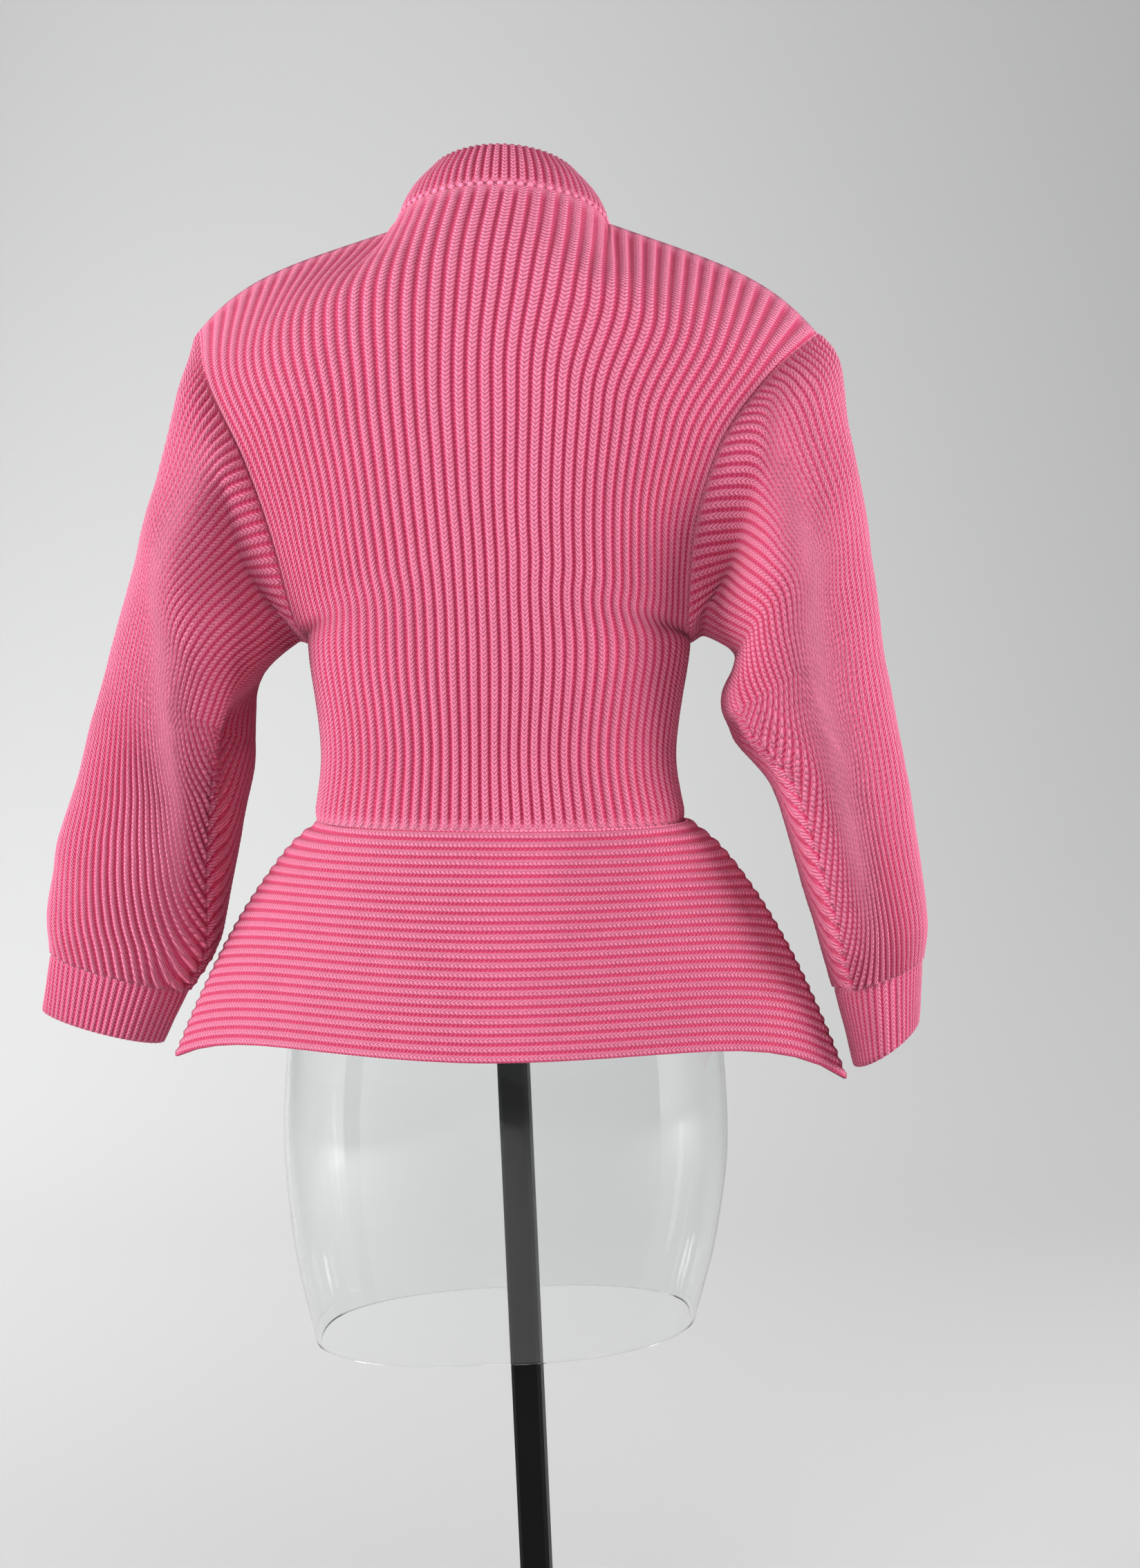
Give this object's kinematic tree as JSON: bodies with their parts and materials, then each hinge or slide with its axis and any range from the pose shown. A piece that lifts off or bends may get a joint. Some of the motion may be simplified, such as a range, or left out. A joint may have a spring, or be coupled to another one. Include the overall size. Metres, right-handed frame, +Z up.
{
  "type": "wool sweater with a flared peplum, worn on a clear limbless torso form with a pole stand",
  "caption": "Chunky-ribbed wool sweater with funnel collar, wide sleeves, fine-ribbed cuffs and a flared peplum, worn by a clear torso form on a pole with a round base.",
  "frame": {"origin": "centre of the round base plate's underside, on the pole's axis", "axes": "+Z up along the pole; the garment's back faces -Y and its front +Y; +X is the wearer's right"},
  "size_m": [0.6388, 0.3, 1.1439],
  "materials": {
    "wool": "chunky rib-knitted wool, matte with a soft fuzz",
    "acrylic": "clear polished acrylic",
    "steel": "satin black powder coat"
  },
  "bodies": {
    "root": {"back": "wool", "front": "wool", "left_sleeve": "wool", "right_sleeve": "wool", "left_cuff": "wool", "right_cuff": "wool", "collar": "wool", "peplum_back": "wool", "peplum_front": "wool", "torso_form": "acrylic", "neck_flange": "steel", "pole": "steel", "base_socket": "steel", "base_plate": "steel"}
  },
  "joints": []
}
